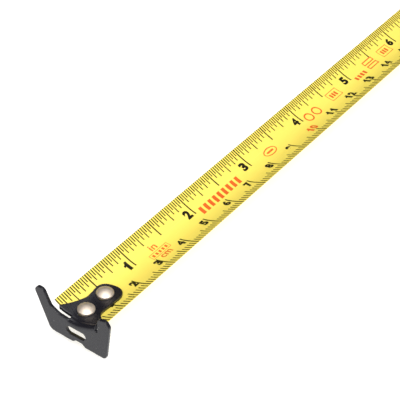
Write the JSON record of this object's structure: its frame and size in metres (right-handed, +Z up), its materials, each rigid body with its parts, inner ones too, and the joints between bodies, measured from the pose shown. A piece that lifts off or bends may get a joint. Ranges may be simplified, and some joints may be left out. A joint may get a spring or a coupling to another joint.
{
  "type": "tape measure",
  "caption": "Pocket tape measure with a curved steel blade drawn out of its case, a riveted sliding end hook, a thumb lock and a belt clip.",
  "frame": {"origin": "centre of the flat foot of the case, on the surface it stands on", "axes": "+X is the way the blade is pulled out, +Z is up, +Y is the centimetre side of the blade"},
  "size_m": [0.2687, 0.0307, 0.0538],
  "materials": {
    "shell_plastic": "satin moulded nylon",
    "rubber": "matt over-moulded rubber",
    "plate_plastic": "satin",
    "guide_plastic": "natural acetal",
    "screw_steel": "zinc plated",
    "post_steel": "turned",
    "washer_plastic": "natural nylon",
    "spool_plastic": "moulded",
    "spring_steel": "blued",
    "blade_paint": "yellow enamel with a clear film",
    "rivet_metal": "polished",
    "hook_paint": "black coated",
    "button_plastic": "moulded",
    "arm_plastic": "moulded",
    "clip_steel": "nickel plated"
  },
  "bodies": {
    "case": {"case_left": "shell_plastic", "case_right": "shell_plastic", "grip_left": "rubber", "grip_right": "rubber", "side_plate": "plate_plastic", "front_bumper": "rubber", "mouth_guide": "guide_plastic", "case_screws": "screw_steel", "centre_post": "post_steel", "centre_screw": "screw_steel", "strap_eyelet": "screw_steel", "washer_left": "washer_plastic", "washer_right": "washer_plastic", "lock_spring": "spring_steel", "clip_screw": "screw_steel"},
    "reel": {"spool": "spool_plastic", "spool_cover": "spool_plastic", "mainspring": "spring_steel", "blade_coil": "blade_paint"},
    "blade": {"blade_run": "blade_paint", "blade_tip": "blade_paint", "front_rivet": "rivet_metal", "rear_rivet": "rivet_metal"},
    "hook": {"end_hook": "hook_paint"},
    "lock": {"lock_button": "button_plastic", "lock_arm": "arm_plastic", "brake_shoe": "rubber"},
    "clip": {"belt_clip": "clip_steel"}
  },
  "joints": [
    {"name": "blade_slide", "type": "slide", "parent": "case", "child": "blade", "axis": [1, 0, 0], "range_m": [-0.2048, 2.794], "deforming": ["blade_run"]},
    {"name": "reel_spin", "type": "hinge", "parent": "case", "child": "reel", "pos_m": [-0.004, 0, 0.02818], "axis": [0, -1, 0], "range_deg": [-570, 7641], "deforming": ["mainspring"]},
    {"name": "hook_slide", "type": "slide", "parent": "blade", "child": "hook", "axis": [-1, 0, 0], "range_m": [0, 0.0009]},
    {"name": "lock_slide", "type": "slide", "parent": "case", "child": "lock", "axis": [-0.4313, 0, 0.9022], "range_m": [0, 0.0045]},
    {"name": "clip_flex", "type": "hinge", "parent": "case", "child": "clip", "pos_m": [-0.004, -0.0125, 0.03518], "axis": [-1, 0, 0], "range_deg": [0, 8], "stiffness_Nm_per_rad": 3, "deforming": ["belt_clip"]}
  ],
  "couplings": [
    {"joint": "reel_spin", "follows": "blade_slide", "rad_per_m": 47.663}
  ]
}
